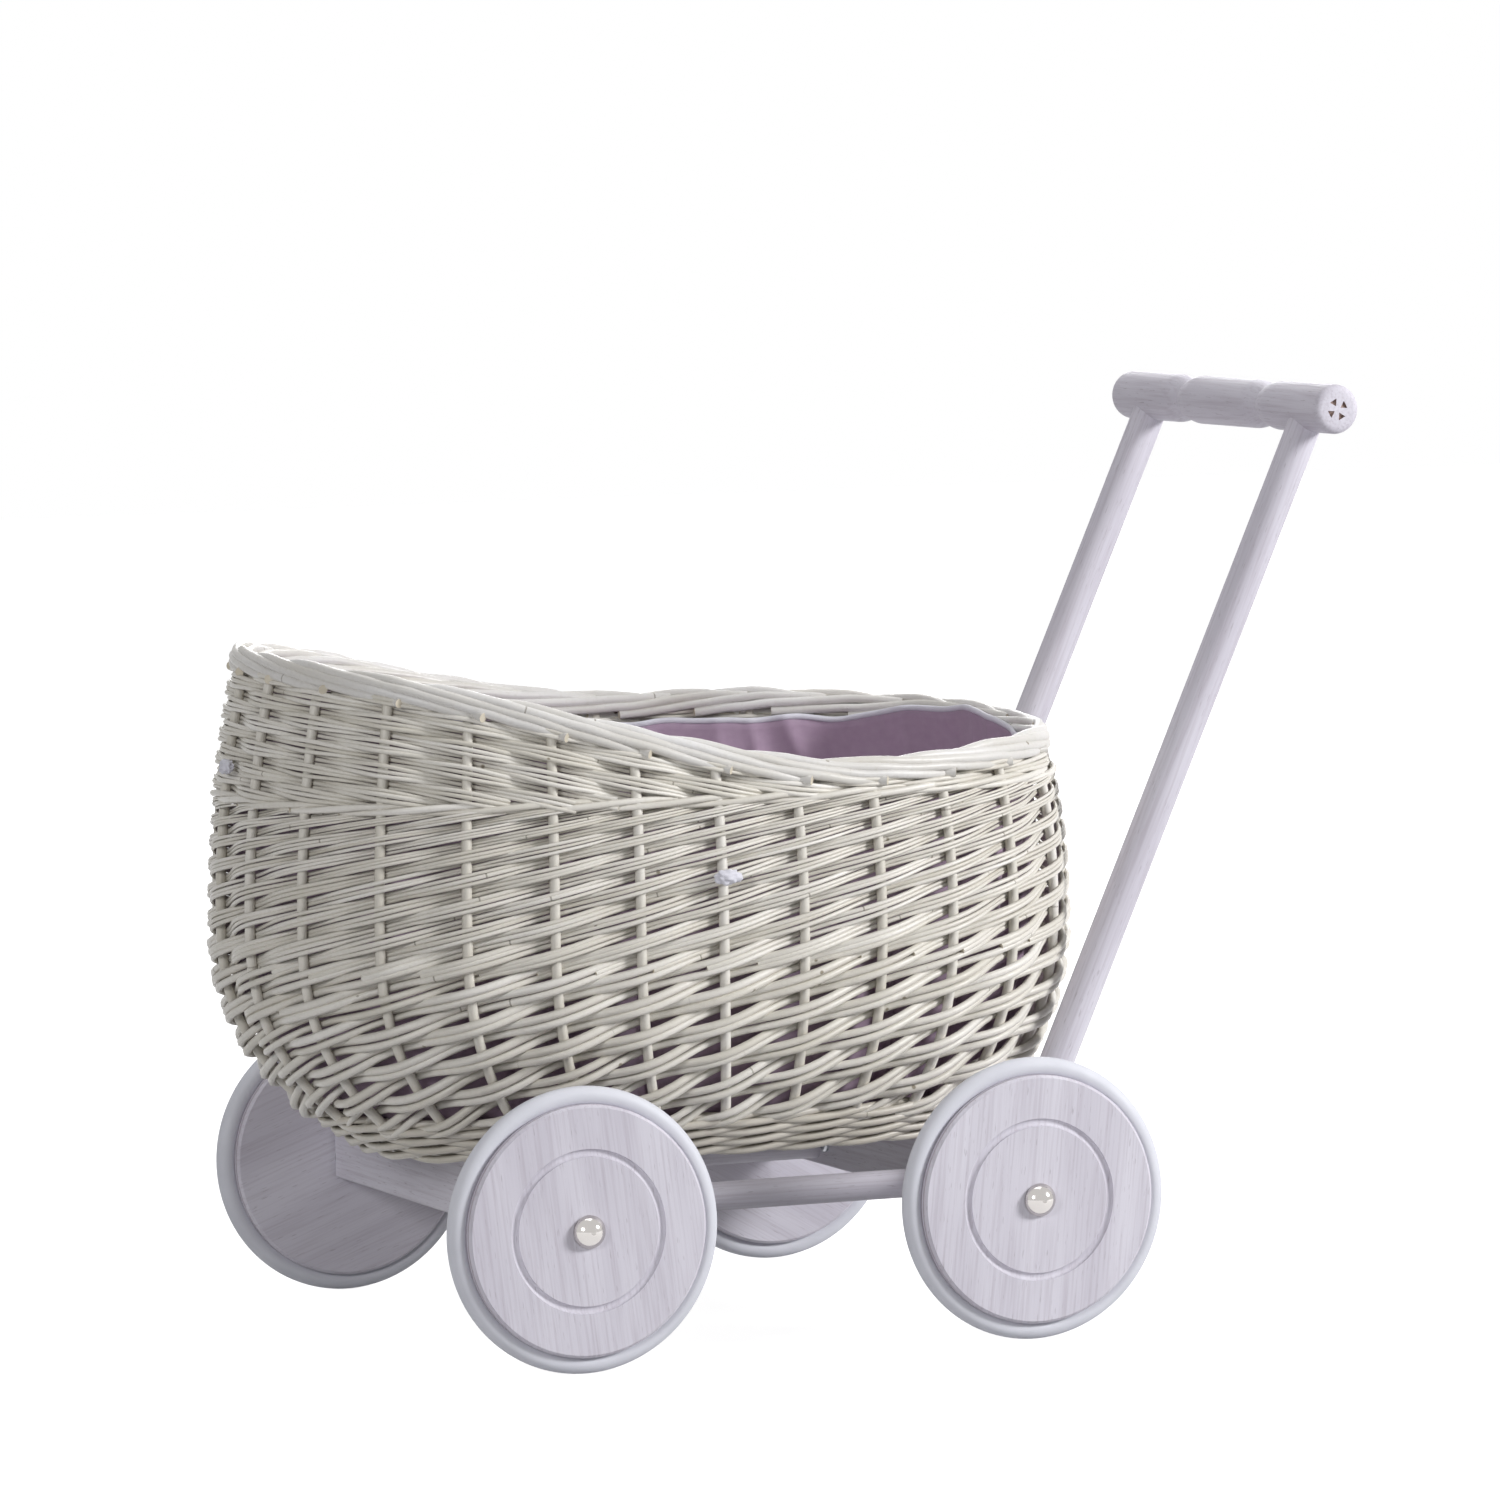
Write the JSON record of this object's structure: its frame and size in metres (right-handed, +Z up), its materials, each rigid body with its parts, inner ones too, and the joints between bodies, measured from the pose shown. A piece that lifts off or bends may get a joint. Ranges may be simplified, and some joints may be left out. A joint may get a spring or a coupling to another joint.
{
  "type": "doll stroller",
  "caption": "Doll pram with a woven willow basket, lined in cotton, on a white-washed wooden push frame with free-rolling wheels and a lathe-turned handlebar.",
  "frame": {"origin": "on the floor, under the middle of the pram's overall length and width", "axes": "+X towards the handle (the pram rolls forwards along -X), -Y to the left of whoever pushes it, +Z up"},
  "size_m": [0.61, 0.3896, 0.4974],
  "materials": {
    "whitewashed_wood": "satin",
    "whitewashed_plywood": "satin",
    "willow": "satin",
    "white_rubber": "matte",
    "chrome_cap": "polished",
    "zinc_steel": "satin",
    "lilac_cotton": "matte",
    "white_cotton": "matte"
  },
  "bodies": {
    "frame": {"front_board": "whitewashed_wood", "rear_board": "whitewashed_wood", "left_rail": "whitewashed_wood", "right_rail": "whitewashed_wood", "left_upright": "whitewashed_wood", "right_upright": "whitewashed_wood", "handle_cleat": "whitewashed_wood", "handlebar": "whitewashed_wood", "axle_pins": "zinc_steel", "hub_spacers": "zinc_steel", "hub_caps": "chrome_cap", "cleat_screws": "zinc_steel", "basket_screws": "zinc_steel", "basket_base": "willow", "basket_foot_wale": "willow", "basket_lower_weave": "willow", "basket_middle_weave": "willow", "basket_upper_weave": "willow", "basket_waist_wale": "willow", "basket_hood_weave": "willow", "basket_rim_border": "willow", "lining": "lilac_cotton", "lining_piping": "white_cotton", "lining_knots": "white_cotton"},
    "front_left_wheel": {"front_left_wheel_disc": "whitewashed_plywood", "front_left_tyre": "white_rubber"},
    "front_right_wheel": {"front_right_wheel_disc": "whitewashed_plywood", "front_right_tyre": "white_rubber"},
    "rear_left_wheel": {"rear_left_wheel_disc": "whitewashed_plywood", "rear_left_tyre": "white_rubber"},
    "rear_right_wheel": {"rear_right_wheel_disc": "whitewashed_plywood", "rear_right_tyre": "white_rubber"}
  },
  "joints": [
    {"name": "front_left_wheel_spin", "type": "hinge", "parent": "frame", "child": "front_left_wheel", "pos_m": [-0.1736, -0.1785, 0.075], "axis": [0, 1, 0], "continuous": true},
    {"name": "front_right_wheel_spin", "type": "hinge", "parent": "frame", "child": "front_right_wheel", "pos_m": [-0.1736, 0.1785, 0.075], "axis": [0, 1, 0], "continuous": true},
    {"name": "rear_left_wheel_spin", "type": "hinge", "parent": "frame", "child": "rear_left_wheel", "pos_m": [0.0824, -0.1785, 0.075], "axis": [0, 1, 0], "continuous": true},
    {"name": "rear_right_wheel_spin", "type": "hinge", "parent": "frame", "child": "rear_right_wheel", "pos_m": [0.0824, 0.1785, 0.075], "axis": [0, 1, 0], "continuous": true}
  ]
}
